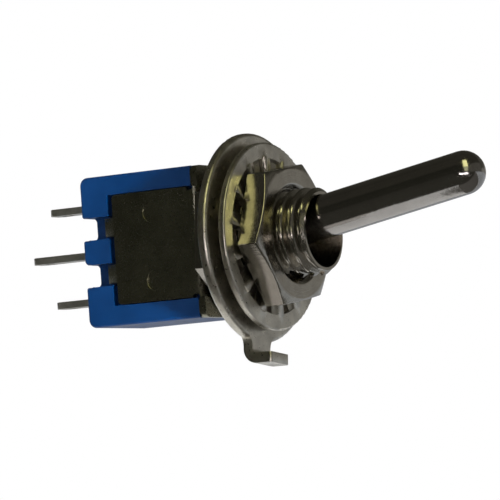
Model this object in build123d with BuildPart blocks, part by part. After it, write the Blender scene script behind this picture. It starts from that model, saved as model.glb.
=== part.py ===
"""Sub-miniature panel toggle switch, single pole, two throws.

Millimetres. The origin is on the bushing axis, at the outer face of the
frame's top plate. +X runs out along the bushing towards the lever, +Z is the
way the lever leans at rest, and the two wide faces of the body look along Y.
"""

import os
from math import atan2, cos, pi, radians, sin, sqrt, tan

from build123d import *

os.makedirs("parts", exist_ok=True)

# Body
body_height = 7.42  # seat plane to the base end
body_length = 8.13  # along Z
body_width = 5.08  # along Y
body_edge_r = 0.15

# Folded frame
sheet_t = 0.42
plate_proud = 0.05  # the side plates stand out of the wide faces
plate_width = 5.9
plate_reach = 5.4  # seat plane to the free edge of a side plate
plate_corner_r = 0.2
bend_outer_r = 0.56
ear_corner_r = 0.35
relief_r = 0.2
relief_drop = 0.1  # relief centre below the top plate
dimple_r = 0.59
dimple_depth = 0.1
dimple_x = -2.93
dimple_z = 1.84
tab_width = 1.0
tab_z = 1.26
tab_run = 0.7  # how far a crimped tab runs past the plate's free edge
tab_drop = 0.3  # how far the crimped tip goes in

# Moulded housing
floor_t = 1.75
cavity_width = 2.9
cavity_length = 6.7
cavity_corner_r = 0.3
plate_gap = 0.02  # housing to the inner face of a side plate
recess_gap = 0.05  # along the sides of a side plate
recess_end_gap = 0.32  # beyond its free edge
notch_inner = 0.66  # half the width of the middle finger
notch_outer = 1.87
notch_depth = 0.53
notch_root_r = 0.26
finger_r = 0.1
finger_low_r = 0.24  # lower corner of the middle finger
end_r = 0.45
lip_well_gap = 0.05
dimple_gap = 0.04
pin_gap = 0.02

# Threaded bushing
thread_r = 2.38
bushing_length = 6.07
end_chamfer = 0.28
shank_r = 1.75
lip_r = 1.9
lip_t = 0.28
keyway_width = 1.4
keyway_depth = 0.3
keyway_turn = 8  # degrees from -Z towards -Y
mouth_r = 1.95
neck_r = 1.36
ball_gap = 0.04
ball_flat_gap = 0.03

# Lever
pivot_x = 1.9
lean = 9.8  # degrees to each side of the bushing axis
ball_r = 1.42
ball_flat = 1.25  # half the width over the two flats
lever_r = 1.165
lever_reach = 14.1  # pivot to the tip
skirt_r = 0.95
skirt_reach = 2.6  # pivot to the lower end
skirt_chamfer = 0.1
well_r = 0.6
well_top = 0.35  # pivot to the blind end of the spring well

# Plunger and spring
plunger_gap = 0.04
plunger_top = 1.5  # pivot to the top of the plunger
plunger_shoulder = 3.6
plunger_taper = 0.3
plunger_reach = 6.0
plunger_tip_r = 0.45
spring_gap = 0.08
spring_wire = 0.12
spring_turns = 5
spring_sides = 8  # the wire's section is drawn as an octagon

# Rocker and its fulcrum
rocker_t = 0.25
rocker_arm = 2.75
rocker_width = 2.1
rocker_corner_r = 0.45
waist_width = 1.3
waist_length = 0.9
rocker_rise = 12  # degrees that each arm rises from the middle
rocker_tilt = 7  # degrees to each side
fulcrum_x = -4.65  # centre of the rounded edge
fulcrum_gap = 0.015

# Terminals
blade_t = 0.38
blade_width = 1.2
pitch = 2.54
common_reach = 4.63  # out of the base end
side_reach = 3.33
blade_tip_chamfer = 0.25
lug_hole_r = 0.35
lug_hole_edge = 0.85  # blade tip to the middle of the hole
ear_width = 0.35
ear_gap = 0.1
ear_rise = 0.6
pad_t = 0.3
pad_margin = 0.05  # pad beyond the contact's head
pad_width = 1.6
pad_bend_r = 0.32
contact_r = 0.5
contact_edge_t = 0.12
contact_rise = 0.3
contact_gap = 0.02
rivet_r = 0.25
rivet_tail_r = 0.36
rivet_tail_t = 0.1
rivet_tail_gap = 0.06  # to the upright of the terminal
rivet_gap = 0.01

# Potting round each terminal
seal_depth = 0.45
seal_margin = 0.26
seal_dip = 0.05
seal_corner_r = 0.12

# Locating washer
locating_x = 1.58
locating_r = 5.62
locating_t = 0.56
locating_rim_r = 0.2
washer_gap = 0.07
key_width = 1.1
key_gap = 0.06
washer_turn = 6.5  # degrees from -Z towards -Y, so its key lies loosely in the keyway
tongue_width = 1.85
tongue_outer = 6.85
tongue_reach = 3.28  # seat plane to the tip of the tongue
tongue_bend_r = 0.8
tongue_root_r = 0.75
tongue_tip_r = 0.14

# Internal-tooth lock washer
lock_x = 2.56
lock_r = 5.04
lock_t = 0.38
lock_rim_r = 0.1
tooth_count = 14
tooth_root_r = 4.2
tooth_tip_r = 2.52
tooth_twist = 15  # degrees about its own middle line
tooth_tip_width = 0.72
tooth_root_width = 0.95

# Nuts
nut_flats = 7.1
nut_t = 1.35
nut_gap = 0.02
nut_sink = 0.28
crown_angle = 22  # degrees of the bevel that cuts the corners
crown_r = 3.45
front_nut_x = 3.08
front_nut_turn = 7.9  # degrees from a corner at -Y
back_nut_x = 0.2
back_nut_turn = 22

# Sizes that follow from those above
half_width = body_width / 2
half_length = body_length / 2
plate_outer = half_width + plate_proud
plate_inner = plate_outer - sheet_t
bend_inner_r = bend_outer_r - sheet_t
recess_floor = plate_inner - plate_gap
recess_end = -plate_reach - recess_end_gap
tab_reach = plate_reach + tab_run
floor_x = floor_t - body_height
notch_x = notch_depth - body_height
notch_middle = (notch_inner + notch_outer) / 2
seat_r = ball_r + ball_gap
neck_x = pivot_x + sqrt(seat_r**2 - neck_r**2)
plunger_r = well_r - plunger_gap
rocker_lift = blade_t / 2 + fulcrum_gap
rest_slope = radians(rocker_rise - rocker_tilt)
contact_z = pitch - blade_t / 2 - rivet_tail_gap - rivet_tail_r
pad_inner_z = contact_z - contact_r - pad_margin
arm_rise = rocker_lift + contact_z * sin(rest_slope)
contact_top = fulcrum_x + arm_rise / cos(rest_slope) - contact_gap
pad_x = contact_top - contact_rise
clear = 1.0  # how far a cutting solid runs past what it cuts

# Frames of the pieces that lean at rest
lever_way = Vector(cos(radians(lean)), 0, sin(radians(lean)))
lever_side = Plane(origin=(pivot_x, 0, 0), x_dir=lever_way, z_dir=(0, -1, 0))
lever_axis = Axis((pivot_x, 0, 0), lever_way)
rocker_up = Vector(cos(radians(rocker_tilt)), 0, -sin(radians(rocker_tilt)))
rocker_side = Plane(origin=(fulcrum_x, 0, 0), x_dir=rocker_up, z_dir=(0, -1, 0))
rocker_plan = Plane(origin=(fulcrum_x, 0, 0), x_dir=(0, 1, 0), z_dir=rocker_up)

# Housing: a deep open box with three fingers at the base end
with BuildPart() as housing:
    with BuildSketch(Plane.XZ.offset(-half_width)) as side_view:
        with BuildLine():
            Polyline(
                (-sheet_t, -half_length),
                (-sheet_t, half_length),
                (-body_height, half_length),
                (-body_height, notch_outer),
                (notch_x, notch_outer),
                (notch_x, notch_inner),
                (-body_height, notch_inner),
                (-body_height, -notch_inner),
                (notch_x, -notch_inner),
                (notch_x, -notch_outer),
                (-body_height, -notch_outer),
                (-body_height, -half_length),
                close=True,
            )
        make_face()
        fillet(side_view.vertices().group_by(Axis.X)[1], notch_root_r)
        # The six corners at the base end, from the lowest up
        end_radii = (end_r, finger_r, finger_low_r, finger_r, finger_r, end_r)
        for corner, corner_r in enumerate(end_radii):
            finger_ends = side_view.vertices().group_by(Axis.X)[0].sort_by(Axis.Y)
            fillet(finger_ends[corner], corner_r)
    extrude(amount=body_width)
    long_edges = housing.edges().filter_by(Axis.X).filter_by(
        lambda e: abs(e.center().Z) > half_length - body_edge_r
    )
    fillet(long_edges, body_edge_r)
    # The hollow that holds the contacts, and the well for the bushing's lip
    with BuildSketch(Plane.YZ.offset(floor_x)):
        RectangleRounded(cavity_width, cavity_length, cavity_corner_r)
    extrude(amount=floor_t + body_height, mode=Mode.SUBTRACT)
    with BuildSketch(Plane.YZ.offset(-sheet_t)):
        Circle(lip_r + lip_well_gap)
    extrude(amount=-lip_t - lip_well_gap, mode=Mode.SUBTRACT)
    for side in (-1, 1):
        # Shallow recess for the side plate
        with BuildSketch(Plane.XZ.offset(side * recess_floor)):
            with Locations((recess_end / 2, 0)):
                Rectangle(-recess_end, plate_width + 2 * recess_gap)
        extrude(amount=side * clear, mode=Mode.SUBTRACT)
        # Deeper pockets that the crimped tabs hook into
        with BuildSketch(Plane.XZ.offset(side * (recess_floor - tab_drop - plate_gap))):
            with Locations(
                *[((notch_x - plate_reach) / 2, z * notch_middle) for z in (-1, 1)]
            ):
                Rectangle(-notch_x - plate_reach + tab_drop, notch_outer - notch_inner)
        extrude(amount=side * clear, mode=Mode.SUBTRACT)
        with BuildSketch(Plane.XZ.offset(side * (recess_floor - dimple_depth - dimple_gap))):
            with Locations((dimple_x, dimple_z), (dimple_x, -dimple_z)):
                Circle(dimple_r + dimple_gap)
        extrude(amount=side * clear, mode=Mode.SUBTRACT)
    bend_edges = housing.edges().filter_by(Axis.Z).group_by(Axis.X)[-1].filter_by(
        lambda e: abs(abs(e.center().Y) - recess_floor) < plate_gap
    )
    chamfer(bend_edges, bend_inner_r + plate_gap)
    with BuildSketch(Plane.YZ.offset(-body_height)):
        with Locations((0, -pitch), (0, 0), (0, pitch)):
            Rectangle(blade_width + 2 * pin_gap, blade_t + 2 * pin_gap)
    extrude(amount=body_height, mode=Mode.SUBTRACT)
    with BuildSketch(Plane.YZ.offset(-body_height)):
        with Locations((0, -pitch), (0, 0), (0, pitch)):
            RectangleRounded(
                blade_width + 2 * seal_margin, blade_t + 2 * seal_margin, seal_corner_r
            )
    extrude(amount=seal_depth, mode=Mode.SUBTRACT)
housing.part.label = "housing"
export_step(housing.part, "parts/housing.step")

# Frame: one folded sheet with a top plate and two side plates
with BuildPart() as frame:
    with BuildSketch(Plane.XY.offset(-plate_width / 2)) as fold:
        with BuildLine():
            Polyline(
                (-plate_reach, plate_outer),
                (0, plate_outer),
                (0, -plate_outer),
                (-plate_reach, -plate_outer),
                (-plate_reach, -plate_inner),
                (-sheet_t, -plate_inner),
                (-sheet_t, plate_inner),
                (-plate_reach, plate_inner),
                close=True,
            )
        make_face()
        fillet(fold.vertices().group_by(Axis.X)[2], bend_outer_r)
        fillet(fold.vertices().filter_by(lambda v: abs(v.X + sheet_t) < 0.01), bend_inner_r)
    extrude(amount=plate_width)
    free_corners = frame.edges().filter_by(Axis.Y).group_by(Axis.X)[0]
    fillet(free_corners, plate_corner_r)
    # Ears of the top plate that run on past the side plates
    ear_length = half_length - plate_width / 2
    with BuildSketch(Plane.YZ.offset(-sheet_t)) as ears:
        for side in (-1, 1):
            with Locations((0, side * (half_length - ear_length / 2))):
                Rectangle(body_width, ear_length)
        fillet(ears.vertices().filter_by(lambda v: abs(v.Y) > half_length - 0.01), ear_corner_r)
    extrude(amount=sheet_t)
    with BuildSketch(Plane.YZ.offset(-clear)):
        Circle(shank_r)
    extrude(amount=2 * clear, mode=Mode.SUBTRACT)
    for side in (-1, 1):
        # Corner reliefs at the ends of each bend
        with BuildSketch(Plane.XZ.offset(side * (plate_inner - bend_inner_r))):
            with Locations(
                *[(-sheet_t - relief_drop, z * plate_width / 2) for z in (-1, 1)]
            ):
                Circle(relief_r)
        extrude(amount=side * clear, mode=Mode.SUBTRACT)
        # Half-sheared dimples that key the plate to the housing
        with BuildSketch(Plane.XZ.offset(side * plate_inner)):
            with Locations((dimple_x, dimple_z), (dimple_x, -dimple_z)):
                Circle(dimple_r)
        extrude(amount=-side * dimple_depth)
        with BuildSketch(Plane.XZ.offset(side * (plate_outer - dimple_depth))):
            with Locations((dimple_x, dimple_z), (dimple_x, -dimple_z)):
                Circle(dimple_r)
        extrude(amount=side * clear, mode=Mode.SUBTRACT)
        # Tabs crimped inwards over the end of the recess
        for z in (-tab_z, tab_z):
            with BuildSketch(Plane.XY.offset(z)):
                with BuildLine():
                    Polyline(
                        (-plate_reach + tab_drop, -side * plate_outer),
                        (-plate_reach, -side * plate_outer),
                        (-tab_reach, -side * (plate_outer - tab_drop)),
                        (-tab_reach, -side * (plate_inner - tab_drop)),
                        (-plate_reach, -side * plate_inner),
                        (-plate_reach + tab_drop, -side * plate_inner),
                        close=True,
                    )
                make_face()
            extrude(amount=tab_width / 2, both=True)
frame.part.label = "frame"
export_step(frame.part, "parts/frame.step")

# Bushing: a turned sleeve with a ball seat, staked into the frame
seat_start = atan2(neck_r, neck_x - pivot_x)
seat_middle = (seat_start + pi / 2) / 2
with BuildPart() as bushing:
    with BuildSketch(Plane.XY):
        with BuildLine():
            Polyline(
                (pivot_x, seat_r),
                (-sheet_t - lip_t, seat_r),
                (-sheet_t - lip_t, lip_r),
                (-sheet_t, lip_r),
                (-sheet_t, shank_r),
                (0, shank_r),
                (0, thread_r),
                (bushing_length - end_chamfer, thread_r),
                (bushing_length, thread_r - end_chamfer),
                (bushing_length, mouth_r),
                (neck_x, neck_r),
            )
            ThreePointArc(
                (neck_x, neck_r),
                (pivot_x + seat_r * cos(seat_middle), seat_r * sin(seat_middle)),
                (pivot_x, seat_r),
            )
        make_face()
    revolve(axis=Axis.X)
    # Flats in the bore that let the ball rock one way only
    with BuildSketch(Plane.YZ.offset(-sheet_t - lip_t)):
        Circle(seat_r)
        Rectangle(2 * (ball_flat + ball_flat_gap), 2 * seat_r, mode=Mode.SUBTRACT)
    extrude(amount=neck_x + sheet_t + lip_t)
    with BuildSketch(Plane.YZ.rotated((-keyway_turn, 0, 0))):
        with Locations((0, -thread_r)):
            Rectangle(keyway_width, 2 * keyway_depth)
    extrude(amount=bushing_length, mode=Mode.SUBTRACT)
bushing.part.label = "bushing"
export_step(bushing.part, "parts/bushing.step")

# Lever: a plain round bat, its ball and the skirt that holds the spring
skirt_meet = sqrt(ball_r**2 - skirt_r**2)
lever_meet = sqrt(ball_r**2 - lever_r**2)
with BuildPart() as lever:
    with BuildSketch(lever_side):
        with BuildLine():
            Polyline(
                (lever_reach, 0),
                (-skirt_reach, 0),
                (-skirt_reach, skirt_r - skirt_chamfer),
                (-skirt_reach + skirt_chamfer, skirt_r),
                (-skirt_meet, skirt_r),
            )
            ThreePointArc((-skirt_meet, skirt_r), (0, ball_r), (lever_meet, lever_r))
            Line((lever_meet, lever_r), (lever_reach - lever_r, lever_r))
            ThreePointArc(
                (lever_reach - lever_r, lever_r),
                (lever_reach - lever_r * (1 - sqrt(0.5)), lever_r * sqrt(0.5)),
                (lever_reach, 0),
            )
        make_face()
    revolve(axis=lever_axis)
    for side in (-1, 1):
        with BuildSketch(Plane.XZ.offset(side * ball_flat)):
            with Locations((pivot_x, 0)):
                Circle(2 * ball_r)
        extrude(amount=side * clear, mode=Mode.SUBTRACT)
    with BuildSketch(lever_side):
        with Locations((-(skirt_reach + well_top) / 2, well_r / 2)):
            Rectangle(skirt_reach - well_top, well_r)
    revolve(axis=lever_axis, mode=Mode.SUBTRACT)
lever.part.label = "lever"
export_step(lever.part, "parts/lever.step")

# Plunger: moulded pin that slides in the skirt and presses on the rocker
with BuildPart() as plunger:
    with BuildSketch(lever_side):
        with BuildLine():
            Polyline(
                (-plunger_reach, 0),
                (-plunger_top, 0),
                (-plunger_top, plunger_r),
                (-plunger_shoulder, plunger_r),
                (-plunger_shoulder - plunger_taper, plunger_tip_r),
                (-plunger_reach + plunger_tip_r, plunger_tip_r),
            )
            ThreePointArc(
                (-plunger_reach + plunger_tip_r, plunger_tip_r),
                (
                    -plunger_reach + plunger_tip_r * (1 - sqrt(0.5)),
                    plunger_tip_r * sqrt(0.5),
                ),
                (-plunger_reach, 0),
            )
        make_face()
    revolve(axis=lever_axis)
plunger.part.label = "plunger"
export_step(plunger.part, "parts/plunger.step")

# Spring between the blind end of the well and the plunger
coil_r = well_r - spring_gap - spring_wire / 2
coil_height = plunger_top - well_top - spring_wire
with BuildPart() as plunger_spring:
    with BuildLine() as coil:
        Helix(
            pitch=coil_height / spring_turns,
            height=coil_height,
            radius=coil_r,
            center=Vector(pivot_x, 0, 0) - lever_way * (plunger_top - spring_wire / 2),
            direction=lever_way,
        )
    with BuildSketch(Plane(origin=coil.line @ 0, z_dir=coil.line % 0)):
        RegularPolygon(spring_wire / 2, spring_sides)
    sweep(is_frenet=True)
plunger_spring.part.label = "plunger_spring"
export_step(plunger_spring.part, "parts/plunger_spring.step")

# Rocker: a shallow vee of contact strip with a narrow waist
rise = radians(rocker_rise)
apex = rocker_lift / cos(rise)
arm_x = rocker_arm * sin(rise)
arm_z = rocker_arm * cos(rise)
with BuildPart() as rocker:
    with BuildSketch(rocker_side):
        with BuildLine():
            Polyline(
                (apex, 0),
                (apex + arm_x, arm_z),
                (apex + arm_x + rocker_t * cos(rise), arm_z - rocker_t * sin(rise)),
                (apex + rocker_t / cos(rise), 0),
                (apex + arm_x + rocker_t * cos(rise), -arm_z + rocker_t * sin(rise)),
                (apex + arm_x, -arm_z),
                close=True,
            )
        make_face()
    extrude(amount=rocker_width / 2, both=True)
    with BuildSketch(rocker_plan):
        RectangleRounded(rocker_width, 2 * arm_z, rocker_corner_r)
        for side in (-1, 1):
            with Locations((side * (waist_width + rocker_width) / 2, 0)):
                Rectangle(rocker_width, waist_length, mode=Mode.SUBTRACT)
    extrude(amount=rocker_arm, both=True, mode=Mode.INTERSECT)
rocker.part.label = "rocker"
export_step(rocker.part, "parts/rocker.step")

# Common terminal: a blade whose head is the rocker's fulcrum
common_tip = -body_height - common_reach
saddle_half = waist_width / 2 + ear_gap
head_half = saddle_half + ear_width
with BuildPart() as terminal_common:
    with BuildSketch(Plane.XY.offset(-blade_t / 2)) as blade:
        with BuildLine():
            Polyline(
                (common_tip, -blade_width / 2),
                (floor_x, -blade_width / 2),
                (floor_x, -head_half),
                (fulcrum_x + ear_rise, -head_half),
                (fulcrum_x + ear_rise, -saddle_half),
                (fulcrum_x, -saddle_half),
                (fulcrum_x, saddle_half),
                (fulcrum_x + ear_rise, saddle_half),
                (fulcrum_x + ear_rise, head_half),
                (floor_x, head_half),
                (floor_x, blade_width / 2),
                (common_tip, blade_width / 2),
                close=True,
            )
        make_face()
        chamfer(blade.vertices().group_by(Axis.X)[0], blade_tip_chamfer)
        with Locations((common_tip + lug_hole_edge, 0)):
            Circle(lug_hole_r, mode=Mode.SUBTRACT)
    extrude(amount=blade_t)
    with BuildSketch(Plane.XZ.offset(-saddle_half)):
        with Locations((fulcrum_x, 0)):
            Circle(blade_t / 2)
    extrude(amount=2 * saddle_half)
terminal_common.part.label = "terminal_common"
export_step(terminal_common.part, "parts/terminal_common.step")

# Outer terminals, each bent over into a pad with a riveted contact
side_tip = -body_height - side_reach
for place, side in (("upper", 1), ("lower", -1)):
    outer_z = side * (pitch + blade_t / 2)
    inner_z = side * (pitch - blade_t / 2)
    with BuildPart() as terminal:
        with BuildSketch(Plane.XZ) as strip:
            with BuildLine():
                Polyline(
                    (side_tip, inner_z),
                    (side_tip, outer_z),
                    (pad_x, outer_z),
                    (pad_x, side * pad_inner_z),
                    (pad_x - pad_t, side * pad_inner_z),
                    (pad_x - pad_t, inner_z),
                    close=True,
                )
            make_face()
            bend = strip.vertices().filter_by(
                lambda v: abs(v.X - pad_x) < 0.01 and abs(v.Y) > pitch
            )
            fillet(bend, pad_bend_r)
        extrude(amount=blade_width / 2, both=True)
        with BuildSketch(Plane.YZ.offset(pad_x - pad_t)):
            with Locations((0, side * (pad_inner_z + pitch) / 2)):
                Rectangle(pad_width, pitch - pad_inner_z)
        extrude(amount=pad_t)
        tip_edges = terminal.edges().filter_by(Axis.Z).group_by(Axis.X)[0]
        chamfer(tip_edges, blade_tip_chamfer)
        with BuildSketch(Plane.XY.offset(inner_z)):
            with Locations((side_tip + lug_hole_edge, 0)):
                Circle(lug_hole_r)
        extrude(amount=clear, both=True, mode=Mode.SUBTRACT)
        with BuildSketch(Plane.YZ.offset(pad_x)):
            with Locations((0, side * contact_z)):
                Circle(rivet_r + rivet_gap)
        extrude(amount=-pad_t, mode=Mode.SUBTRACT)
    terminal.part.label = f"terminal_{place}"
    export_step(terminal.part, f"parts/terminal_{place}.step")

    dome = contact_rise - contact_edge_t
    dome_r = (contact_r**2 + dome**2) / (2 * dome)
    with BuildPart() as contact:
        with BuildSketch(Plane.XY.offset(side * contact_z)):
            with BuildLine():
                Polyline(
                    (pad_x + contact_rise, 0),
                    (pad_x - pad_t - rivet_tail_t, 0),
                    (pad_x - pad_t - rivet_tail_t, rivet_tail_r),
                    (pad_x - pad_t, rivet_tail_r),
                    (pad_x - pad_t, rivet_r),
                    (pad_x, rivet_r),
                    (pad_x, contact_r),
                    (pad_x + contact_edge_t, contact_r),
                )
                RadiusArc(
                    (pad_x + contact_edge_t, contact_r), (pad_x + contact_rise, 0), dome_r
                )
            make_face()
        revolve(axis=Axis((0, 0, side * contact_z), (1, 0, 0)))
    contact.part.label = f"contact_{place}"
    export_step(contact.part, f"parts/contact_{place}.step")

# Potting that seals each terminal in its finger
for place, z in (("upper", pitch), ("common", 0), ("lower", -pitch)):
    with BuildPart() as seal:
        with BuildSketch(Plane.YZ.offset(seal_dip - body_height)):
            with Locations((0, z)):
                RectangleRounded(
                    blade_width + 2 * seal_margin, blade_t + 2 * seal_margin, seal_corner_r
                )
                Rectangle(blade_width, blade_t, mode=Mode.SUBTRACT)
        extrude(amount=seal_depth - seal_dip)
    seal.part.label = f"seal_{place}"
    export_step(seal.part, f"parts/seal_{place}.step")

# Locating washer: keyed ring with a tab bent forward into a tongue
turn = radians(washer_turn)
washer_face = Plane(
    origin=(locating_x, 0, 0), x_dir=(0, cos(turn), -sin(turn)), z_dir=(1, 0, 0)
)
tongue_side = Plane(
    origin=(0, 0, 0), x_dir=(1, 0, 0), z_dir=(0, cos(turn), -sin(turn))
)
washer_bore_r = thread_r + washer_gap
key_r = thread_r - keyway_depth + key_gap
flat_r = locating_r - locating_rim_r
neck_end = tongue_outer - tongue_bend_r
with BuildPart() as locating_washer:
    with BuildSketch(Plane.XY) as rim:
        with Locations((locating_x + locating_t / 2, (washer_bore_r + locating_r) / 2)):
            Rectangle(locating_t, locating_r - washer_bore_r)
        fillet(rim.vertices().group_by(Axis.Y)[-1], locating_rim_r)
    revolve(axis=Axis.X)
    with BuildSketch(washer_face) as web:
        Circle(flat_r)
        with Locations((0, -neck_end / 2)):
            Rectangle(tongue_width, neck_end)
        roots = web.vertices().filter_by(lambda v: abs(v.Y + flat_r) < locating_rim_r)
        fillet(roots, tongue_root_r)
        Circle(washer_bore_r, mode=Mode.SUBTRACT)
        with Locations((0, -(key_r + washer_bore_r + washer_gap) / 2)):
            Rectangle(key_width, washer_bore_r + washer_gap - key_r)
    extrude(amount=locating_t)
    with BuildSketch(tongue_side) as bend:
        with BuildLine():
            Polyline(
                (locating_x, neck_end),
                (locating_x, tongue_outer),
                (tongue_reach, tongue_outer),
                (tongue_reach, tongue_outer - locating_t),
                (locating_x + locating_t, tongue_outer - locating_t),
                (locating_x + locating_t, neck_end),
                close=True,
            )
        make_face()
        outside = bend.vertices().sort_by_distance((locating_x, tongue_outer))[0]
        fillet(outside, tongue_bend_r - 0.01)
        inside = bend.vertices().sort_by_distance(
            (locating_x + locating_t, tongue_outer - locating_t)
        )[0]
        fillet(inside, tongue_bend_r - locating_t - 0.01)
    extrude(amount=tongue_width / 2, both=True)
    tips = locating_washer.faces().sort_by(Axis.X)[-1].edges()
    tips = tips.filter_by(lambda e: e.length < (locating_t + tongue_width) / 2)
    fillet(tips, tongue_tip_r)
locating_washer.part.label = "locating_washer"
export_step(locating_washer.part, "parts/locating_washer.step")

# Lock washer: flat ring whose inner teeth are each twisted
lock_middle = lock_x + lock_t / 2
with BuildPart() as lock_washer:
    with BuildSketch(Plane.XY) as rim:
        with Locations((lock_middle, (tooth_root_r + lock_r) / 2)):
            Rectangle(lock_t, lock_r - tooth_root_r)
        fillet(rim.vertices().group_by(Axis.Y)[-1], lock_rim_r)
    revolve(axis=Axis.X)
    for tooth in range(tooth_count):
        angle = 2 * pi * (tooth + 0.5) / tooth_count
        way = Vector(0, cos(angle), sin(angle))
        twist = radians(tooth_twist)
        square = Vector(cos(twist), sin(twist) * sin(angle), -sin(twist) * cos(angle))
        middle = Vector(lock_middle, 0, 0) - square * (lock_t / 2)
        with BuildSketch(Plane(origin=middle, x_dir=way, z_dir=square)):
            with BuildLine():
                Polyline(
                    (tooth_tip_r, -tooth_tip_width / 2),
                    (tooth_tip_r, tooth_tip_width / 2),
                    (tooth_root_r + lock_rim_r, tooth_root_width / 2),
                    (tooth_root_r + lock_rim_r, -tooth_root_width / 2),
                    close=True,
                )
            make_face()
        extrude(amount=lock_t)
lock_washer.part.label = "lock_washer"
export_step(lock_washer.part, "parts/lock_washer.step")

# The two hexagon nuts
nut_corner_r = nut_flats / sqrt(3) + nut_gap
for place, seat, nut_turn in (
    ("front", front_nut_x, front_nut_turn),
    ("back", back_nut_x, back_nut_turn),
):
    face = seat + nut_t
    with BuildPart() as nut:
        with BuildSketch(Plane.YZ.offset(seat)):
            RegularPolygon(
                nut_flats / 2, side_count=6, major_radius=False, rotation=nut_turn
            )
        extrude(amount=nut_t)
        with BuildSketch(Plane.XY):
            with BuildLine():
                Polyline(
                    (seat, 0),
                    (seat, nut_corner_r),
                    (face - (nut_corner_r - crown_r) * tan(radians(crown_angle)), nut_corner_r),
                    (face, crown_r),
                    (face, 0),
                    close=True,
                )
            make_face()
        revolve(axis=Axis.X, mode=Mode.INTERSECT)
        with BuildSketch(Plane.YZ.offset(seat)):
            Circle(thread_r + nut_gap)
        extrude(amount=nut_t, mode=Mode.SUBTRACT)
        bore_edges = nut.edges().filter_by(GeomType.CIRCLE).filter_by(
            lambda e: abs(e.radius - thread_r - nut_gap) < 0.01
        )
        chamfer(bore_edges, nut_sink)
    nut.part.label = f"{place}_nut"
    export_step(nut.part, f"parts/{place}_nut.step")
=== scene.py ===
"""Looks for a sub-miniature panel toggle switch.

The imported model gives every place. Each piece is dressed here with its edges,
threads and finishes, and a small studio is set round it. Lengths are in metres,
apart from the camera's lens and sensor, which are in millimetres.
"""

import math

import bmesh
import bpy
from bpy.props import FloatProperty, FloatVectorProperty, IntProperty, PointerProperty
from bpy.types import Operator, Panel, PropertyGroup
from mathutils import Matrix, Vector


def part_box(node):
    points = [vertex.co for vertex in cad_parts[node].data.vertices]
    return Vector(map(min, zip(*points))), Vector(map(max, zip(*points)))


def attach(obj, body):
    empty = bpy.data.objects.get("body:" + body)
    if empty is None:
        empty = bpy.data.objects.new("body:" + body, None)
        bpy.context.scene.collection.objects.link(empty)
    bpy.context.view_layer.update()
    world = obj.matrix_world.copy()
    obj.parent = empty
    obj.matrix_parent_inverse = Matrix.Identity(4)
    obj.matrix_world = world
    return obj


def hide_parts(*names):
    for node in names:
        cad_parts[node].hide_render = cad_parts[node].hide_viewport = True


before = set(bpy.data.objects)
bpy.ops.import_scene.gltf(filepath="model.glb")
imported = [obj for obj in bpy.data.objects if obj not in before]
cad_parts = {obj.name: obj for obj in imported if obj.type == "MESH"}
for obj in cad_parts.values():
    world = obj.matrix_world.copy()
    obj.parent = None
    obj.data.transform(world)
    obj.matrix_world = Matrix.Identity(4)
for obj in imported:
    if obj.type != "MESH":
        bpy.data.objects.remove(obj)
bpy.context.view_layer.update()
# The bushing's outer end, where its thread stops
THREAD_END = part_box("bushing")[1][0]
MM = 0.001

bl_info = {
    "name": "Panel toggle switch",
    "version": (1, 0, 0),
    "blender": (4, 5, 0),
    "location": "3D View > Sidebar > Switch",
    "description": "Dresses a sub-miniature panel toggle switch and its studio",
    "category": "Object",
}


# Sizes and colours


def length(name, text, value):
    """A property measured in metres."""
    return FloatProperty(
        name=name, description=text, default=value, unit="LENGTH", precision=6
    )


def whole(name, text, value):
    """A property that counts something, from one up."""
    return IntProperty(name=name, description=text, default=value, min=1)


def colour(name, text, value):
    """A property that holds a linear colour."""
    return FloatVectorProperty(
        name=name, description=text, default=value, size=3, subtype="COLOR", min=0, max=1
    )


class SwitchSizes(PropertyGroup):
    """Sizes that belong to the looks alone"""

    thread_pitch: length("Thread pitch", "Distance from crest to crest", 0.635 * MM)
    thread_depth: length("Thread depth", "Crest to root of the bushing's thread", 0.36 * MM)
    thread_radius: length("Thread radius", "Crest radius of the thread", 2.38 * MM)
    thread_chamfer: length("Thread chamfer", "Bevel at the end of the thread", 0.28 * MM)
    mouth_radius: length("Mouth radius", "Bore radius at the open end", 1.95 * MM)
    neck_radius: length("Neck radius", "Narrowest part of the bore", 1.36 * MM)
    seat_radius: length("Seat radius", "Radius of the lever's ball seat", 1.46 * MM)
    pivot: length("Pivot", "Ball centre above the frame", 1.9 * MM)
    shank_radius: length("Shank radius", "Part that passes the frame", 1.75 * MM)
    lip_radius: length("Lip radius", "Staked lip inside the frame", 1.9 * MM)
    lip_end: length("Lip end", "Inner end of the staked lip", -0.70 * MM)
    sheet_thickness: length("Sheet thickness", "Thickness of the frame", 0.42 * MM)
    keyway_width: length("Keyway width", "Slot along the thread", 1.4 * MM)
    keyway_depth: length("Keyway depth", "Depth of that slot", 0.3 * MM)
    keyway_turn: FloatProperty(
        name="Keyway turn", description="Slot's place from straight below, towards -Y",
        default=math.radians(8), subtype="ANGLE",
    )
    thread_rows: whole("Thread rows", "Mesh rows in a pitch", 12)
    chamfer_rows: whole("Chamfer rows", "Mesh rows in the thread's end bevel", 4)
    seat_rows: whole("Seat rows", "Mesh rows in the ball seat", 8)
    turn_steps: whole("Turn steps", "Mesh columns in a turn", 128)
    moulded_edge: length("Moulded edge", "Rounding on the edges of the body", 0.09 * MM)
    stamped_edge: length("Stamped edge", "Rounding on sheet metal edges", 0.045 * MM)
    turned_edge: length("Turned edge", "Rounding on the nuts", 0.06 * MM)
    blade_edge: length("Blade edge", "Rounding on the terminals", 0.04 * MM)
    tooth_edge: length("Tooth edge", "Rounding on the lock washer's teeth", 0.03 * MM)
    edge_steps: whole("Edge steps", "Segments in each rounded edge", 2)


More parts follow.
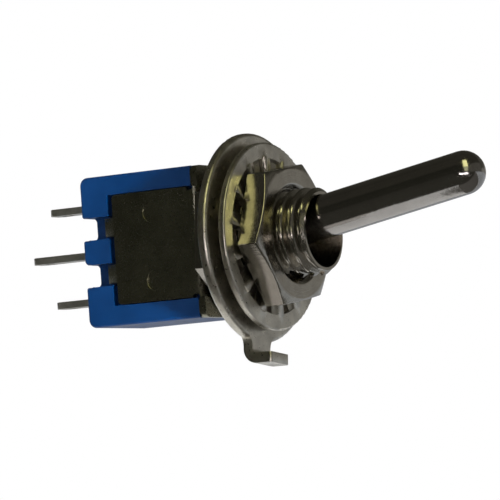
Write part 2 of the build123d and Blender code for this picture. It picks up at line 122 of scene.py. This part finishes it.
class SwitchColours(PropertyGroup):
    """Base colours of the finishes"""

    moulding: colour("Moulding", "Blue of the body", (0.0008, 0.038, 0.150))
    nickel: colour("Nickel", "Plate on the washers", (0.58, 0.555, 0.49))
    turned: colour("Turned parts", "Darker plate on the bushing and nuts", (0.40, 0.38, 0.335))
    lever: colour("Lever", "Polished plate on the lever", (0.38, 0.365, 0.345))
    sheet: colour("Sheet", "Dull plate on the folded frame", (0.31, 0.305, 0.24))
    tin: colour("Tin", "Tin on the terminals", (0.46, 0.45, 0.40))
    potting: colour("Potting", "Resin round the terminals", (0.03, 0.045, 0.06))
    white: colour("White moulding", "Plunger", (0.72, 0.70, 0.64))
    spring: colour("Spring wire", "Drawn wire of the plunger's spring", (0.5, 0.5, 0.49))
    strip: colour("Contact strip", "Stamped strip of the rocker", (0.62, 0.48, 0.30))
    silver: colour("Silver", "Riveted contacts", (0.78, 0.76, 0.72))
    floor: colour("Floor", "Pale studio floor", (0.80, 0.80, 0.80))


# Shader helpers

# Sockets of the Mix node where it mixes colours
MIX_FACTOR, MIX_FIRST, MIX_SECOND, MIX_RESULT = 0, 6, 7, 2
# Noise stays near its middle, so its tones are spread between these two values
TONE_LOW, TONE_HIGH = 0.3, 0.7
WHITE = (1, 1, 1, 1)


class Finish:
    """A node material built round one Principled shader."""

    def __init__(self, name):
        self.material = bpy.data.materials.new(name)
        self.material.use_nodes = True
        self.tree = self.material.node_tree
        self.shader = self.tree.nodes["Principled BSDF"]
        self.place = self.add("ShaderNodeTexCoord").outputs["Object"]

    def add(self, kind, **values):
        """A new shader node with these settings."""
        node = self.tree.nodes.new(kind)
        for key, value in values.items():
            setattr(node, key, value)
        return node

    def link(self, out, into):
        self.tree.links.new(out, into)

    def set(self, **values):
        """Sets sockets of the Principled shader, named with _ for each space."""
        for key, value in values.items():
            self.shader.inputs[key.replace("_", " ")].default_value = value

    def noise(self, size, detail=3.0, roughness=0.55, stretch=None):
        """Noise whose features are about size metres across."""
        out = self.place
        if stretch:
            mapping = self.add("ShaderNodeMapping")
            mapping.inputs["Scale"].default_value = stretch
            self.link(out, mapping.inputs["Vector"])
            out = mapping.outputs["Vector"]
        node = self.add("ShaderNodeTexNoise")
        node.inputs["Scale"].default_value = 1 / size
        node.inputs["Detail"].default_value = detail
        node.inputs["Roughness"].default_value = roughness
        self.link(out, node.inputs["Vector"])
        return node.outputs["Fac"]

    def ramp(self, fac, dark, light, low=TONE_LOW, high=TONE_HIGH):
        """Colours from dark to light as fac goes from low to high."""
        node = self.add("ShaderNodeValToRGB")
        first, last = node.color_ramp.elements
        first.position, last.position = low, high
        first.color, last.color = (*dark, 1), (*light, 1)
        self.link(fac, node.inputs["Fac"])
        return node.outputs["Color"]

    def spread(self, fac, start, end, low=TONE_LOW, high=TONE_HIGH):
        """A number from start to end as fac goes from low to high."""
        node = self.add("ShaderNodeMapRange")
        limits = {"From Min": low, "From Max": high, "To Min": start, "To Max": end}
        for key, value in limits.items():
            node.inputs[key].default_value = value
        self.link(fac, node.inputs["Value"])
        return node.outputs["Result"]

    def blend(self, fac, base, rgb):
        """The colours of the output base, going over to rgb as fac goes to 1."""
        node = self.add("ShaderNodeMix", data_type="RGBA")
        self.link(fac, node.inputs[MIX_FACTOR])
        self.link(base, node.inputs[MIX_FIRST])
        node.inputs[MIX_SECOND].default_value = (*rgb, 1)
        return node.outputs[MIX_RESULT]

    def bump(self, height, distance, strength):
        """Adds a bump to any that is there already."""
        node = self.add("ShaderNodeBump")
        node.inputs["Distance"].default_value = distance
        node.inputs["Strength"].default_value = strength
        self.link(height, node.inputs["Height"])
        normal = self.shader.inputs["Normal"]
        if normal.is_linked:
            self.link(normal.links[0].from_socket, node.inputs["Normal"])
        self.link(node.outputs["Normal"], normal)

    def colour(self, out):
        self.link(out, self.shader.inputs["Base Color"])

    def roughness(self, out):
        self.link(out, self.shader.inputs["Roughness"])

    def surface(self, out):
        self.link(out, self.tree.nodes["Material Output"].inputs["Surface"])


def scaled(rgb, factor):
    """A lighter or darker tone of a base colour, at most white."""
    return tuple(min(1.0, part * factor) for part in rgb)


def mixed(tree, fac, first, second):
    """The mix of two shaders, from the first to the second as fac goes to 1."""
    mix = tree.nodes.new("ShaderNodeMixShader")
    for out, into in zip((fac, first, second), mix.inputs):
        tree.links.new(out, into)
    return mix.outputs[0]


# Finishes


def moulding_finish(rgb):
    """Moulded plastic: fine grain, soft sink marks and a few pale scuffs."""
    f = Finish("blue_moulding_finish")
    cloud = f.noise(1.6 * MM, 4)
    grain = f.noise(0.09 * MM, 2)
    base = f.ramp(cloud, scaled(rgb, 0.86), scaled(rgb, 1.12))
    scuffs = f.noise(0.8 * MM, 5, 0.7, stretch=(1, 1, 3.5))
    scuffed = (rgb[0] * 3, rgb[1] * 1.6 + 0.01, rgb[2] * 1.2 + 0.02)
    f.colour(f.blend(f.spread(scuffs, 0, 0.16, low=0.64, high=0.74), base, scuffed))
    f.roughness(f.spread(cloud, 0.34, 0.46))
    f.bump(grain, 0.006 * MM, 0.5)
    f.bump(cloud, 0.03 * MM, 0.25)
    f.set(IOR=1.5, Specular_IOR_Level=0.3)
    return f.material


def plated_finish(name, rgb, rough, mottle=0.10, wave=0.02 * MM, stain=0.25, ring_width=None):
    """Bright plate: small waves in the surface, faint dull spots and stains.

    With a ring_width it also shows the fine rings that a lathe leaves.
    """
    f = Finish(name)
    cloud = f.noise(1.1 * MM, 4)
    fine = f.noise(0.16 * MM, 3)
    base = f.ramp(cloud, scaled(rgb, 1 - mottle), scaled(rgb, 1 + mottle), low=0.32, high=0.68)
    spots = f.spread(f.noise(0.42 * MM, 4, 0.7), 0, stain, low=0.63, high=0.75)
    stained = (rgb[0] * 0.45, rgb[1] * 0.38, rgb[2] * 0.28)
    f.colour(f.blend(spots, base, stained))
    f.roughness(f.spread(fine, rough * 0.75, rough * 1.35))
    f.bump(fine, wave * 0.2, 0.35)
    f.bump(cloud, wave, 0.6)
    f.set(Metallic=1.0)
    if ring_width:
        add_lathe_rings(f, ring_width)
    return f.material


def add_lathe_rings(f, width):
    """Rings round the X axis, from noise along the distance to it."""
    across = f.add("ShaderNodeVectorMath", operation="MULTIPLY")
    across.inputs[1].default_value = (0, 1, 1)
    f.link(f.place, across.inputs[0])
    radius = f.add("ShaderNodeVectorMath", operation="LENGTH")
    f.link(across.outputs["Vector"], radius.inputs[0])
    rings = f.add("ShaderNodeTexNoise", noise_dimensions="1D")
    rings.inputs["Scale"].default_value = 1 / width
    rings.inputs["Detail"].default_value = 2
    f.link(radius.outputs["Value"], rings.inputs["W"])
    f.bump(rings.outputs["Fac"], width * 0.4, 0.25)


def sheet_finish(rgb):
    """Dull rolled sheet: grain, clouds and streaks along the rolling."""
    f = Finish("frame_sheet_finish")
    cloud = f.noise(1.4 * MM, 5, 0.6)
    grain = f.noise(0.10 * MM, 3, 0.6)
    streaks = f.noise(0.22 * MM, 3, 0.6, stretch=(0.35, 1, 1.6))
    base = f.ramp(cloud, scaled(rgb, 0.8), scaled(rgb, 1.15))
    f.colour(f.blend(f.spread(streaks, 0, 0.4, low=0.58, high=0.75), base, scaled(rgb, 0.5)))
    f.roughness(f.spread(grain, 0.24, 0.36))
    f.bump(grain, 0.008 * MM, 0.6)
    f.bump(cloud, 0.03 * MM, 0.3)
    f.set(Metallic=1.0)
    return f.material


def tin_finish(rgb):
    """Dipped tin: cloudy, with a slightly lumpy skin."""
    f = Finish("tinned_finish")
    cloud = f.noise(0.9 * MM, 4, 0.6)
    fine = f.noise(0.14 * MM, 3)
    f.colour(f.ramp(cloud, scaled(rgb, 0.72), scaled(rgb, 1.18), high=0.72))
    f.roughness(f.spread(fine, 0.30, 0.5))
    f.bump(fine, 0.008 * MM, 0.5)
    f.bump(cloud, 0.03 * MM, 0.5)
    f.set(Metallic=0.85)
    return f.material


def plain_finish(name, rgb, rough, metallic=0.0):
    """A quiet finish for small and hidden pieces."""
    f = Finish(name)
    cloud = f.noise(0.7 * MM, 3)
    f.colour(f.ramp(cloud, scaled(rgb, 0.85), scaled(rgb, 1.1)))
    f.roughness(f.spread(cloud, rough * 0.85, rough * 1.2))
    f.bump(f.noise(0.12 * MM, 2), 0.006 * MM, 0.5)
    f.set(Metallic=metallic)
    return f.material


# Mesh helpers

MERGE_WITHIN = 0.0005 * MM
FLAT_WITHIN = math.radians(0.4)
# A face that is square to the X axis has at least this much of its normal along it
SQUARE_FROM = 0.9999
# Edges that turn by more than this are rounded
ROUND_FROM = math.radians(28)
# Edges that turn by less than these are shaded smooth
SMOOTH_TO = math.radians(32)
THREAD_SMOOTH_TO = math.radians(40)
# The shading follows the largest faces as far as it can
FOLLOW_LARGE_FACES = 100


def packed(name):
    """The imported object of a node."""
    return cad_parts[name]


def paint(obj, material):
    """Gives an object this material alone."""
    obj.data.materials.clear()
    obj.data.materials.append(material)


def active(obj):
    """A context in which operators work on this object alone."""
    return bpy.context.temp_override(object=obj, active_object=obj, selected_objects=[obj])


def shade_smooth(obj, angle):
    """Smooths the shading across edges that turn by less than the angle."""
    with active(obj):
        bpy.ops.object.shade_smooth_by_angle(angle=angle)


def cad_copy(name, convex=False):
    """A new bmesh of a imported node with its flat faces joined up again.

    Convex cuts the faces round an opening into convex ones, which stay whole
    when the edges of thin sheet are rounded, and keeps the flats' shading flat.
    """
    bm = bmesh.new()
    bm.from_mesh(packed(name).data)
    bmesh.ops.remove_doubles(bm, verts=bm.verts, dist=MERGE_WITHIN)
    bmesh.ops.dissolve_limit(bm, angle_limit=FLAT_WITHIN, verts=bm.verts, edges=bm.edges)
    if convex:
        bmesh.ops.connect_verts_concave(bm, faces=bm.faces)
        for edge in bm.edges:
            square_faces = sum(abs(face.normal.x) > SQUARE_FROM for face in edge.link_faces)
            edge.smooth = square_faces != 1
    return bm


def finished_piece(name, bm, body, slot, material, *replaced):
    """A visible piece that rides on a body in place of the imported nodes."""
    mesh = bpy.data.meshes.new(name)
    bm.to_mesh(mesh)
    bm.free()
    obj = bpy.data.objects.new(name, mesh)
    bpy.context.scene.collection.objects.link(obj)
    paint(obj, material)
    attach(obj, body)
    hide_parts(*replaced)
    return obj


def soften(obj, width, steps):
    """Rounds the sharp edges and smooths the shading between them."""
    bevel = obj.modifiers.new("rounded_edges", "BEVEL")
    bevel.width = width
    bevel.segments = steps
    bevel.limit_method = "ANGLE"
    bevel.angle_limit = ROUND_FROM
    bevel.use_clamp_overlap = True
    bevel.miter_outer = "MITER_ARC"
    even = obj.modifiers.new("even_shading", "WEIGHTED_NORMAL")
    even.keep_sharp = True
    even.weight = FOLLOW_LARGE_FACES
    shade_smooth(obj, SMOOTH_TO)


def rounded_node(name, body, slot, material, width, steps, convex=False):
    """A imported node's shape with rounded edges and a finish."""
    bm = cad_copy(name, convex)
    soften(finished_piece(f"{name}_surface", bm, body, slot, material, name), width, steps)


# Threaded sleeve

# Shares of half a pitch that the thread's hollow and its flank take up
HOLLOW_SHARE = 0.15
FLANK_SHARE = 0.72
# The keyway's cutter starts just above the frame and runs well past the metal
CUTTER_START = 0.001 * MM
CUTTER_PAST = 2 * MM


def thread_height(turns):
    """Rounded thread form: 0 at the root and 1 at the crest, for a place in turns."""
    wave = abs((turns % 1.0) * 2 - 1)
    flank = min(1.0, max(0.0, (wave - HOLLOW_SHARE) / FLANK_SHARE))
    # halfway between a straight flank and one that eases in and out
    return (flank + flank * flank * (3 - 2 * flank)) / 2


def sleeve_rows(sizes):
    """The sleeve's rows round its section: place, radius and if the thread runs there."""
    rows = [
        (sizes.pivot, sizes.seat_radius, False),
        (sizes.lip_end, sizes.seat_radius, False),
        (sizes.lip_end, sizes.lip_radius, False),
        (-sizes.sheet_thickness, sizes.lip_radius, False),
        (-sizes.sheet_thickness, sizes.shank_radius, False),
        (0.0, sizes.shank_radius, False),
    ]
    full_thread = THREAD_END - sizes.thread_chamfer
    row_count = round(full_thread / sizes.thread_pitch * sizes.thread_rows)
    for i in range(row_count + 1):
        rows.append((full_thread * i / row_count, sizes.thread_radius, True))
    for i in range(1, sizes.chamfer_rows + 1):
        part = i / sizes.chamfer_rows
        x = THREAD_END - sizes.thread_chamfer * (1 - part)
        rows.append((x, sizes.thread_radius - sizes.thread_chamfer * part, True))
    neck_x = sizes.pivot + math.sqrt(sizes.seat_radius**2 - sizes.neck_radius**2)
    rows.append((THREAD_END, sizes.mouth_radius, False))
    rows.append((neck_x, sizes.neck_radius, False))
    start = math.atan2(sizes.neck_radius, neck_x - sizes.pivot)
    for i in range(1, sizes.seat_rows):
        angle = start + (math.pi / 2 - start) * i / sizes.seat_rows
        x = sizes.pivot + sizes.seat_radius * math.cos(angle)
        rows.append((x, sizes.seat_radius * math.sin(angle), False))
    return rows


def threaded_sleeve(sizes):
    """The bushing as one closed turned skin whose outer rows carry the thread."""
    bm = bmesh.new()
    rings = []
    for x, row_radius, threaded in sleeve_rows(sizes):
        ring = []
        for k in range(sizes.turn_steps):
            angle = 2 * math.pi * k / sizes.turn_steps
            radius = row_radius
            if threaded:
                # a right-hand thread advances along +X as it turns from +Y to +Z
                height = thread_height(x / sizes.thread_pitch - k / sizes.turn_steps)
                form = sizes.thread_radius - sizes.thread_depth * (1 - height)
                radius = min(row_radius, form)
            ring.append(bm.verts.new((x, radius * math.cos(angle), radius * math.sin(angle))))
        rings.append(ring)
    for first, second in zip(rings, rings[1:] + rings[:1]):
        for k in range(sizes.turn_steps):
            j = (k + 1) % sizes.turn_steps
            bm.faces.new((first[k], first[j], second[j], second[k]))
    bmesh.ops.recalc_face_normals(bm, faces=bm.faces)
    return bm


def cut_keyway(obj, sizes):
    """Takes the slot out of the thread with a long block."""
    floor = sizes.keyway_depth - sizes.thread_radius
    bm = bmesh.new()
    bmesh.ops.create_cube(bm, size=1)
    for vert in bm.verts:
        vert.co.x = THREAD_END + CUTTER_PAST if vert.co.x > 0 else CUTTER_START
        vert.co.y *= sizes.keyway_width
        vert.co.z = floor if vert.co.z > 0 else floor - CUTTER_PAST
    bmesh.ops.rotate(bm, verts=bm.verts, matrix=Matrix.Rotation(-sizes.keyway_turn, 3, "X"))
    mesh = bpy.data.meshes.new("keyway_cutter")
    bm.to_mesh(mesh)
    bm.free()
    cutter = bpy.data.objects.new("keyway_cutter", mesh)
    bpy.context.scene.collection.objects.link(cutter)
    cut = obj.modifiers.new("keyway", "BOOLEAN")
    cut.operation, cut.object, cut.solver = "DIFFERENCE", cutter, "EXACT"
    with active(obj):
        bpy.ops.object.modifier_apply(modifier=cut.name)
    bpy.data.objects.remove(cutter)
    bpy.data.meshes.remove(mesh)


# Pieces


class SWITCH_OT_housing(Operator):
    """Blue moulded body with its softly rounded edges"""

    bl_idname = "switch.housing"
    bl_label = "Housing"
    bl_options = {"REGISTER", "UNDO"}

    def execute(self, context):
        sizes = context.scene.switch_sizes
        plastic = moulding_finish(context.scene.switch_colours.moulding)
        rounded_node(
            "housing", "base", "blue_moulding", plastic, sizes.moulded_edge, sizes.edge_steps
        )
        return {"FINISHED"}


class SWITCH_OT_frame(Operator):
    """Folded sheet frame with its dimples and crimped tabs"""

    bl_idname = "switch.frame"
    bl_label = "Folded frame"
    bl_options = {"REGISTER", "UNDO"}

    def execute(self, context):
        sizes = context.scene.switch_sizes
        sheet = sheet_finish(context.scene.switch_colours.sheet)
        rounded_node("frame", "base", "frame_steel", sheet, sizes.stamped_edge, sizes.edge_steps)
        return {"FINISHED"}


class SWITCH_OT_bushing(Operator):
    """Turned bushing with its screw thread, keyway and ball seat"""

    bl_idname = "switch.bushing"
    bl_label = "Threaded bushing"
    bl_options = {"REGISTER", "UNDO"}

    def execute(self, context):
        sizes = context.scene.switch_sizes
        turned = context.scene.switch_colours.turned
        plate = plated_finish("bushing_plate_finish", turned, rough=0.2)
        sleeve = threaded_sleeve(sizes)
        bushing = finished_piece(
            "bushing_surface", sleeve, "base", "nickel_plate", plate, "bushing"
        )
        cut_keyway(bushing, sizes)
        shade_smooth(bushing, THREAD_SMOOTH_TO)
        return {"FINISHED"}


class SWITCH_OT_lever(Operator):
    """Polished plate of the round bat"""

    bl_idname = "switch.lever"
    bl_label = "Lever"
    bl_options = {"REGISTER", "UNDO"}

    def execute(self, context):
        polished = context.scene.switch_colours.lever
        plate = plated_finish("lever_plate_finish", polished, rough=0.13, mottle=0.06)
        paint(packed("lever"), plate)
        return {"FINISHED"}


class SWITCH_OT_washers(Operator):
    """Locating washer with its bent tab, and toothed lock washer"""

    bl_idname = "switch.washers"
    bl_label = "Washers"
    bl_options = {"REGISTER", "UNDO"}

    def execute(self, context):
        sizes = context.scene.switch_sizes
        nickel = context.scene.switch_colours.nickel
        plate = plated_finish(
            "washer_plate_finish", nickel, rough=0.34, mottle=0.2, wave=0.03 * MM, stain=0.4
        )
        rounded_node(
            "locating_washer", "locating_washer", "nickel_plate", plate,
            sizes.stamped_edge, sizes.edge_steps,
        )
        rounded_node(
            "lock_washer", "lock_washer", "nickel_plate", plate,
            sizes.tooth_edge, sizes.edge_steps, convex=True,
        )
        return {"FINISHED"}


class SWITCH_OT_nuts(Operator):
    """The two hexagon nuts"""

    bl_idname = "switch.nuts"
    bl_label = "Nuts"
    bl_options = {"REGISTER", "UNDO"}

    def execute(self, context):
        sizes = context.scene.switch_sizes
        turned = context.scene.switch_colours.turned
        plate = plated_finish("nut_plate_finish", turned, rough=0.17, ring_width=0.06 * MM)
        for name in ("front_nut", "back_nut"):
            rounded_node(name, name, "nickel_plate", plate, sizes.turned_edge, sizes.edge_steps)
        return {"FINISHED"}


class SWITCH_OT_terminals(Operator):
    """Tinned terminal blades and the potting round them"""

    bl_idname = "switch.terminals"
    bl_label = "Terminals"
    bl_options = {"REGISTER", "UNDO"}

    def execute(self, context):
        sizes = context.scene.switch_sizes
        colours = context.scene.switch_colours
        tin = tin_finish(colours.tin)
        resin = plain_finish("potting_finish", colours.potting, rough=0.3)
        for place in ("upper", "common", "lower"):
            rounded_node(
                f"terminal_{place}", "base", "tinned_brass", tin,
                sizes.blade_edge, sizes.edge_steps, convex=True,
            )
            paint(packed(f"seal_{place}"), resin)
        return {"FINISHED"}


class SWITCH_OT_mechanism(Operator):
    """Finishes of the pieces inside the body"""

    bl_idname = "switch.mechanism"
    bl_label = "Mechanism"
    bl_options = {"REGISTER", "UNDO"}

    def execute(self, context):
        colours = context.scene.switch_colours
        plastic = plain_finish("plunger_finish", colours.white, rough=0.4)
        wire = plain_finish("spring_finish", colours.spring, rough=0.3, metallic=1.0)
        strip = plain_finish("rocker_finish", colours.strip, rough=0.3, metallic=1.0)
        silver = plain_finish("contact_finish", colours.silver, rough=0.25, metallic=1.0)
        paint(packed("plunger"), plastic)
        paint(packed("plunger_spring"), wire)
        paint(packed("rocker"), strip)
        for place in ("upper", "lower"):
            paint(packed(f"contact_{place}"), silver)
        return {"FINISHED"}


# Stage

# The camera: the way back to it from its aim, its right-hand side, and its distance
CAMERA_BACK = Vector((0.5043, -0.8612, -0.0633))
CAMERA_RIGHT = Vector((0.85844, 0.50788, -0.07170))
CAMERA_DISTANCE = 0.2439
CAMERA_LENS = 327.7
CAMERA_SENSOR = 36.0
CAMERA_NEAR = 0.01
CAMERA_FAR = 20
# Its aim, to the right of the origin and above it as the camera sees them
AIM_RIGHT = 1.304 * MM
AIM_UP = -0.451 * MM
# Strength of the world where it lights the switch, and where it is seen
WORLD_LIGHT = 0.27
WORLD_SEEN = 1.0
FLOOR_Z = -17.5 * MM
FLOOR_REACH = 3.0
# The floor goes over into the white world between these distances
FADE_FROM = 35 * MM
FADE_TO = 130 * MM
# The mats lie this far up, just over the floor
MAT_Z = FLOOR_Z + 0.3 * MM
# Half the width and depth of the room
ROOM = 0.9
# Tones of a card's light, as shares of its colour
CARD_DIM = 0.75
CARD_BRIGHT = 1.25


def mat(name, x_edges, y_edges, rgb):
    """A row of CARDS for a mat that lies between these edges."""
    (left, right), (near, far) = x_edges, y_edges
    middle = ((left + right) / 2, (near + far) / 2, MAT_Z)
    return name, middle, ((right - left) / 2, 0, 0), (0, (far - near) / 2, 0), rgb


# The dim room that the metal reflects: name, middle, two half-side vectors and colour
CARDS = (
    ("wall_front", (0, -ROOM, 0.2), (ROOM, 0, 0), (0, 0, 0.5), (0.030, 0.030, 0.023)),
    ("wall_left", (-ROOM, 0, 0.2), (0, ROOM, 0), (0, 0, 0.5), (0.045, 0.044, 0.035)),
    ("wall_right", (ROOM, 0, 0.2), (0, ROOM, 0), (0, 0, 0.5), (0.12, 0.115, 0.10)),
    ("wall_back", (0, ROOM, -0.04), (ROOM, 0, 0), (0, 0, 0.26), (0.28, 0.27, 0.25)),
    ("wall_above", (0, ROOM, 0.46), (ROOM, 0, 0), (0, 0, 0.24), (0.09, 0.086, 0.074)),
    ("ceiling", (0, 0, 0.7), (ROOM, 0, 0), (0, ROOM, 0), (0.045, 0.043, 0.034)),
    mat("mat_front", (-ROOM, ROOM), (-0.9095, -0.0095), (0.045, 0.044, 0.036)),
    mat("mat_left", (-0.009, 0.003), (-0.0095, -0.0035), (0.50, 0.47, 0.45)),
    mat("mat_side", (-ROOM, -0.035), (-0.0095, 0.0195), (0.10, 0.10, 0.09)),
    mat("mat_right", (0.0084, ROOM), (-0.0095, 0.0195), (0.13, 0.125, 0.115)),
    mat("mat_back", (-ROOM, ROOM), (0.02, ROOM), (0.46, 0.48, 0.51)),
    ("window", (0.22, -0.24, 0.35), (0.06, 0.06, 0), (-0.05, 0.055, 0.14), (2.35, 2.3, 1.1)),
    ("sill", (0.31, -0.34, 0.13), (0.06, 0.06, 0), (-0.035, 0.04, 0.08), (0.8, 0.8, 0.5)),
    ("reflector", (0.0525, -0.0762, -0.0115), (0.030, 0.020, 0), (0, 0, 0.005), (7, 6.5, 6.7)),
)

# Lamps that the metal doesn't reflect: name, place, diameter, watts and colour
LAMPS = (
    ("key_lamp", (0.135, -0.060, -0.008), 0.016, 0.33, (1.0, 1.0, 0.98)),
    ("front_lamp", (-0.25, -0.45, 0.45), 0.5, 0.7, (1.0, 0.99, 0.97)),
    ("left_lamp", (-0.50, 0.10, 0.20), 0.4, 1.5, (1.0, 1.0, 1.0)),
    ("back_lamp", (0.10, 0.50, 0.40), 0.5, 1.8, (1.0, 1.0, 1.0)),
    ("top_lamp", (0.0, 0.10, 0.60), 0.4, 1.0, (1.0, 1.0, 1.0)),
)


def make_camera():
    """Sets up the camera with its axes square to each other."""
    back = CAMERA_BACK.normalized()
    right = (CAMERA_RIGHT - back * CAMERA_RIGHT.dot(back)).normalized()
    up = back.cross(right)
    data = bpy.data.cameras.new("studio_camera")
    data.lens, data.sensor_width = CAMERA_LENS, CAMERA_SENSOR
    data.clip_start, data.clip_end = CAMERA_NEAR, CAMERA_FAR
    camera = bpy.data.objects.new("studio_camera", data)
    place = right * AIM_RIGHT + up * AIM_UP + back * CAMERA_DISTANCE
    turn = Matrix((right, up, back)).transposed().to_4x4()
    camera.matrix_world = Matrix.Translation(place) @ turn
    bpy.context.scene.collection.objects.link(camera)
    bpy.context.scene.camera = camera


def make_world():
    """White to the eye and in metal and glass, and a plain soft light on the rest."""
    world = bpy.data.worlds.new("studio_world")
    bpy.context.scene.world = world
    world.use_nodes = True
    tree = world.node_tree
    tree.nodes.clear()
    rays = tree.nodes.new("ShaderNodeLightPath")
    seen = rays.outputs["Is Camera Ray"]
    for kind in ("Is Glossy Ray", "Is Transmission Ray"):
        either = tree.nodes.new("ShaderNodeMath")
        either.operation = "MAXIMUM"
        tree.links.new(seen, either.inputs[0])
        tree.links.new(rays.outputs[kind], either.inputs[1])
        seen = either.outputs[0]
    lights = []
    for strength in (WORLD_LIGHT, WORLD_SEEN):
        light = tree.nodes.new("ShaderNodeBackground")
        light.inputs["Color"].default_value = WHITE
        light.inputs["Strength"].default_value = strength
        lights.append(light.outputs[0])
    out = tree.nodes.new("ShaderNodeOutputWorld")
    tree.links.new(mixed(tree, seen, *lights), out.inputs["Surface"])


def flat_card(name, middle, across, along, material):
    """A rectangle spanned by two half-side vectors round its middle."""
    middle, across, along = Vector(middle), Vector(across), Vector(along)
    bm = bmesh.new()
    corners = [middle + across * i + along * j for i, j in ((-1, -1), (1, -1), (1, 1), (-1, 1))]
    bm.faces.new([bm.verts.new(corner) for corner in corners])
    mesh = bpy.data.meshes.new(name)
    bm.to_mesh(mesh)
    bm.free()
    card = bpy.data.objects.new(name, mesh)
    card.data.materials.append(material)
    bpy.context.scene.collection.objects.link(card)
    return card


def make_floor(rgb):
    """A pale floor that fades into the white world, to the eye alone."""
    f = Finish("floor_finish")
    f.colour(f.ramp(f.noise(0.05, 2), scaled(rgb, 0.98), scaled(rgb, 1.02)))
    f.set(Roughness=0.7)
    far = f.add("ShaderNodeVectorMath", operation="LENGTH")
    f.link(f.place, far.inputs[0])
    fade = f.add("ShaderNodeMath", operation="MULTIPLY")
    f.link(f.spread(far.outputs["Value"], 0, 1, FADE_FROM, FADE_TO), fade.inputs[0])
    f.link(f.add("ShaderNodeLightPath").outputs["Is Camera Ray"], fade.inputs[1])
    white = f.add("ShaderNodeEmission")
    white.inputs["Color"].default_value = WHITE
    f.surface(mixed(f.tree, fade.outputs[0], f.shader.outputs[0], white.outputs[0]))
    sides = (FLOOR_REACH, 0, 0), (0, FLOOR_REACH, 0)
    flat_card("studio_floor", (0, 0, FLOOR_Z), *sides, f.material)


def glow(name, rgb):
    """A card's material: light with a soft uneven tone."""
    f = Finish(name)
    emit = f.add("ShaderNodeEmission")
    dim, bright = (tuple(part * tone for part in rgb) for tone in (CARD_DIM, CARD_BRIGHT))
    f.link(f.ramp(f.noise(0.12, 2), dim, bright), emit.inputs["Color"])
    f.surface(emit.outputs[0])
    return f.material


def make_room():
    """Sets up the cards, which only the metal's reflections show."""
    for name, middle, across, along, rgb in CARDS:
        light = glow(f"{name}_finish", rgb)
        card = flat_card(f"studio_{name}", middle, across, along, light)
        card.visible_camera = False
        card.visible_diffuse = False
        card.visible_shadow = False
        card.visible_transmission = False


def make_lamps():
    """Sets up the lamps, each turned towards the origin."""
    for name, place, diameter, watts, rgb in LAMPS:
        data = bpy.data.lights.new(name, "AREA")
        data.shape, data.size = "DISK", diameter
        data.energy, data.color = watts, rgb
        lamp = bpy.data.objects.new(name, data)
        lamp.location = place
        lamp.rotation_mode = "QUATERNION"
        lamp.rotation_quaternion = Vector(place).to_track_quat("Z", "Y")
        lamp.visible_glossy = False
        bpy.context.scene.collection.objects.link(lamp)


class SWITCH_OT_stage(Operator):
    """Camera, world, floor, dim studio walls and lamps"""

    bl_idname = "switch.stage"
    bl_label = "Stage"
    bl_options = {"REGISTER", "UNDO"}

    def execute(self, context):
        make_camera()
        make_world()
        make_floor(context.scene.switch_colours.floor)
        make_room()
        make_lamps()
        return {"FINISHED"}


# Sidebar and registration

STEPS = (
    SWITCH_OT_housing,
    SWITCH_OT_frame,
    SWITCH_OT_bushing,
    SWITCH_OT_lever,
    SWITCH_OT_washers,
    SWITCH_OT_nuts,
    SWITCH_OT_terminals,
    SWITCH_OT_mechanism,
    SWITCH_OT_stage,
)


class SWITCH_PT_panel(Panel):
    """Lists the steps and their values"""

    bl_idname = "SWITCH_PT_panel"
    bl_label = "Panel toggle switch"
    bl_space_type = "VIEW_3D"
    bl_region_type = "UI"
    bl_category = "Switch"

    def draw(self, context):
        for step in STEPS:
            self.layout.operator(step.bl_idname)
        for group in (context.scene.switch_sizes, context.scene.switch_colours):
            box = self.layout.box()
            for key in group.bl_rna.properties.keys():
                if key not in ("rna_type", "name"):
                    box.prop(group, key)


CLASSES = (SwitchSizes, SwitchColours, *STEPS, SWITCH_PT_panel)


def register():
    for cls in CLASSES:
        bpy.utils.register_class(cls)
    bpy.types.Scene.switch_sizes = PointerProperty(type=SwitchSizes)
    bpy.types.Scene.switch_colours = PointerProperty(type=SwitchColours)


def unregister():
    del bpy.types.Scene.switch_sizes
    del bpy.types.Scene.switch_colours
    for cls in reversed(CLASSES):
        bpy.utils.unregister_class(cls)


def main():
    register()
    bpy.context.scene.view_settings.view_transform = "Standard"
    for step in STEPS:
        group, name = step.bl_idname.split(".")
        getattr(getattr(bpy.ops, group), name)()
    bpy.context.view_layer.update()


if __name__ == "__main__":
    main()
